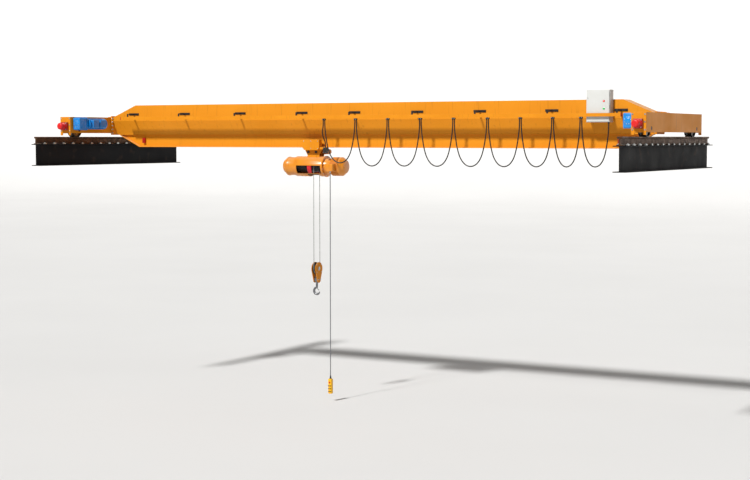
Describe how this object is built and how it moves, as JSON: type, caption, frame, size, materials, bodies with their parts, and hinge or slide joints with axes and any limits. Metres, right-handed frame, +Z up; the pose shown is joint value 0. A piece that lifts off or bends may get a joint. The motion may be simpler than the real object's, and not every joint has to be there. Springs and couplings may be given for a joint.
{
  "type": "overhead bridge crane",
  "caption": "Single-girder overhead travelling crane: box girder on two rail trucks, rope hoist on an underslung trolley, festoon cable and pendant, with its runway beams.",
  "frame": {"origin": "on the underside of the left runway beam, where the centre lines of the left rail and the girder cross", "axes": "+X along the girder to the right rail, +Y along the rails to the back (the control cabinet and festoon are at the front), +Z up"},
  "size_m": [14.43, 5.37, 6.743],
  "materials": {
    "orange_paint": "satin",
    "runway_paint": "satin",
    "rail_steel": "satin",
    "clip_steel": "satin",
    "wheel_steel": "satin",
    "buffer_rubber": "satin",
    "drive_blue": "satin",
    "cabinet_grey": "satin",
    "lamp_lens": "gloss",
    "stop_red": "satin",
    "black_steel": "satin",
    "cable_rubber": "matte",
    "carrier_plastic": "matte",
    "drum_steel": "satin",
    "guide_plastic": "satin",
    "rope_wire": "satin",
    "hook_steel": "satin",
    "pendant_plastic": "satin"
  },
  "bodies": {
    "runway": {"runway_beam_left": "runway_paint", "runway_beam_right": "runway_paint", "rail_left": "rail_steel", "rail_right": "rail_steel", "rail_clips": "clip_steel"},
    "bridge": {"girder_box": "orange_paint", "track_web": "orange_paint", "track_flange": "orange_paint", "track_flange_ends": "orange_paint", "girder_end_plates": "orange_paint", "splice_plates": "orange_paint", "end_truck_left": "orange_paint", "end_truck_right": "orange_paint", "truck_end_plates": "orange_paint", "buffers": "buffer_rubber", "drive_gearboxes": "drive_blue", "drive_motors": "drive_blue", "end_stops": "stop_red", "festoon_track": "orange_paint", "track_brackets": "black_steel", "control_cabinet": "cabinet_grey", "cabinet_door": "cabinet_grey", "cabinet_lamps": "lamp_lens", "festoon_loops": "cable_rubber"},
    "trolley": {"trolley_frame": "orange_paint", "tie_bolts": "black_steel", "trolley_cover": "orange_paint", "trolley_motor": "orange_paint", "cable_socket": "carrier_plastic", "drum_shell": "orange_paint", "rope_guide": "guide_plastic", "hoist_gearbox": "orange_paint", "hoist_motor": "orange_paint", "terminal_box": "orange_paint", "rope_anchor": "black_steel", "rope_falls": "rope_wire", "festoon_drop": "cable_rubber", "pendant_cable": "cable_rubber", "pendant_station": "pendant_plastic"},
    "rope_drum": {"rope_drum": "drum_steel"},
    "hook_block": {"block_cheeks": "orange_paint", "crosshead": "hook_steel"},
    "sheave": {"sheave": "wheel_steel"},
    "hook": {"hook": "hook_steel"},
    "trolley_wheels_left": {"trolley_wheels_left": "wheel_steel"},
    "trolley_wheels_right": {"trolley_wheels_right": "wheel_steel"},
    "crane_wheel_left_front": {"crane_wheel_left_front": "wheel_steel"},
    "crane_wheel_left_back": {"crane_wheel_left_back": "wheel_steel"},
    "crane_wheel_right_front": {"crane_wheel_right_front": "wheel_steel"},
    "crane_wheel_right_back": {"crane_wheel_right_back": "wheel_steel"},
    "festoon_carrier_1": {"festoon_carrier_1": "carrier_plastic"},
    "festoon_carrier_2": {"festoon_carrier_2": "carrier_plastic"},
    "festoon_carrier_3": {"festoon_carrier_3": "carrier_plastic"},
    "festoon_carrier_4": {"festoon_carrier_4": "carrier_plastic"},
    "festoon_carrier_5": {"festoon_carrier_5": "carrier_plastic"},
    "festoon_carrier_6": {"festoon_carrier_6": "carrier_plastic"},
    "festoon_carrier_7": {"festoon_carrier_7": "carrier_plastic"},
    "festoon_carrier_8": {"festoon_carrier_8": "carrier_plastic"},
    "festoon_carrier_9": {"festoon_carrier_9": "carrier_plastic"}
  },
  "joints": [
    {"name": "bridge_travel", "type": "slide", "parent": "runway", "child": "bridge", "axis": [0, 1, 0], "range_m": [-0.6, 0.5]},
    {"name": "trolley_travel", "type": "slide", "parent": "bridge", "child": "trolley", "axis": [1, 0, 0], "range_m": [-4.5, 5.6], "deforming": ["festoon_loops"]},
    {"name": "hook_lift", "type": "slide", "parent": "trolley", "child": "hook_block", "axis": [0, 0, 1], "range_m": [-1.9, 1.6], "deforming": ["rope_falls"]},
    {"name": "hook_swivel", "type": "hinge", "parent": "hook_block", "child": "hook", "pos_m": [5.87, 0, -2.58], "axis": [0, 0, 1], "continuous": true},
    {"name": "crane_wheel_left_front_roll", "type": "hinge", "parent": "bridge", "child": "crane_wheel_left_front", "pos_m": [0, -1.41, 0.8303], "axis": [1, 0, 0], "range_deg": [-181, 216]},
    {"name": "crane_wheel_left_back_roll", "type": "hinge", "parent": "bridge", "child": "crane_wheel_left_back", "pos_m": [0, 1.41, 0.8303], "axis": [1, 0, 0], "range_deg": [-181, 216]},
    {"name": "crane_wheel_right_front_roll", "type": "hinge", "parent": "bridge", "child": "crane_wheel_right_front", "pos_m": [14.13, -1.41, 0.8303], "axis": [1, 0, 0], "range_deg": [-181, 216]},
    {"name": "crane_wheel_right_back_roll", "type": "hinge", "parent": "bridge", "child": "crane_wheel_right_back", "pos_m": [14.13, 1.41, 0.8303], "axis": [1, 0, 0], "range_deg": [-181, 216]},
    {"name": "trolley_wheels_left_roll", "type": "hinge", "parent": "trolley", "child": "trolley_wheels_left", "pos_m": [5.76, 0, 0.5053], "axis": [0, 1, 0], "range_deg": [-4160, 5177]},
    {"name": "trolley_wheels_right_roll", "type": "hinge", "parent": "trolley", "child": "trolley_wheels_right", "pos_m": [5.94, 0, 0.5053], "axis": [0, 1, 0], "range_deg": [-4160, 5177]},
    {"name": "drum_turn", "type": "hinge", "parent": "trolley", "child": "rope_drum", "pos_m": [5.85, 0, 0], "axis": [1, 0, 0], "range_deg": [-1676, 1412]},
    {"name": "sheave_turn", "type": "hinge", "parent": "hook_block", "child": "sheave", "pos_m": [5.87, 0, -2.33], "axis": [1, 0, 0], "range_deg": [-839, 707]},
    {"name": "carrier_9_slide", "type": "slide", "parent": "bridge", "child": "festoon_carrier_9", "axis": [1, 0, 0], "range_m": [-0.386, 0.48]},
    {"name": "carrier_8_slide", "type": "slide", "parent": "festoon_carrier_9", "child": "festoon_carrier_8", "axis": [1, 0, 0], "range_m": [-0.423, 0.526]},
    {"name": "carrier_7_slide", "type": "slide", "parent": "festoon_carrier_8", "child": "festoon_carrier_7", "axis": [1, 0, 0], "range_m": [-0.491, 0.61]},
    {"name": "carrier_6_slide", "type": "slide", "parent": "festoon_carrier_7", "child": "festoon_carrier_6", "axis": [1, 0, 0], "range_m": [-0.511, 0.635]},
    {"name": "carrier_5_slide", "type": "slide", "parent": "festoon_carrier_6", "child": "festoon_carrier_5", "axis": [1, 0, 0], "range_m": [-0.542, 0.673]},
    {"name": "carrier_4_slide", "type": "slide", "parent": "festoon_carrier_5", "child": "festoon_carrier_4", "axis": [1, 0, 0], "range_m": [-0.542, 0.673]},
    {"name": "carrier_3_slide", "type": "slide", "parent": "festoon_carrier_4", "child": "festoon_carrier_3", "axis": [1, 0, 0], "range_m": [-0.545, 0.677]},
    {"name": "carrier_2_slide", "type": "slide", "parent": "festoon_carrier_3", "child": "festoon_carrier_2", "axis": [1, 0, 0], "range_m": [-0.552, 0.686]},
    {"name": "carrier_1_slide", "type": "slide", "parent": "festoon_carrier_2", "child": "festoon_carrier_1", "axis": [1, 0, 0], "range_m": [-0.552, 0.686]}
  ],
  "couplings": [
    {"joint": "crane_wheel_left_front_roll", "follows": "bridge_travel", "rad_per_m": -6.25},
    {"joint": "crane_wheel_left_back_roll", "follows": "bridge_travel", "rad_per_m": -6.25},
    {"joint": "crane_wheel_right_front_roll", "follows": "bridge_travel", "rad_per_m": -6.25},
    {"joint": "crane_wheel_right_back_roll", "follows": "bridge_travel", "rad_per_m": -6.25},
    {"joint": "trolley_wheels_left_roll", "follows": "trolley_travel", "rad_per_m": 16.129},
    {"joint": "trolley_wheels_right_roll", "follows": "trolley_travel", "rad_per_m": 16.129},
    {"joint": "drum_turn", "follows": "hook_lift", "rad_per_m": 15.385},
    {"joint": "sheave_turn", "follows": "hook_lift", "rad_per_m": 7.6923},
    {"joint": "carrier_9_slide", "follows": "trolley_travel", "ratio": 0.084771},
    {"joint": "carrier_8_slide", "follows": "trolley_travel", "ratio": 0.092987},
    {"joint": "carrier_7_slide", "follows": "trolley_travel", "ratio": 0.10809},
    {"joint": "carrier_6_slide", "follows": "trolley_travel", "ratio": 0.11248},
    {"joint": "carrier_5_slide", "follows": "trolley_travel", "ratio": 0.11935},
    {"joint": "carrier_4_slide", "follows": "trolley_travel", "ratio": 0.11925},
    {"joint": "carrier_3_slide", "follows": "trolley_travel", "ratio": 0.11999},
    {"joint": "carrier_2_slide", "follows": "trolley_travel", "ratio": 0.12154},
    {"joint": "carrier_1_slide", "follows": "trolley_travel", "ratio": 0.12154}
  ]
}
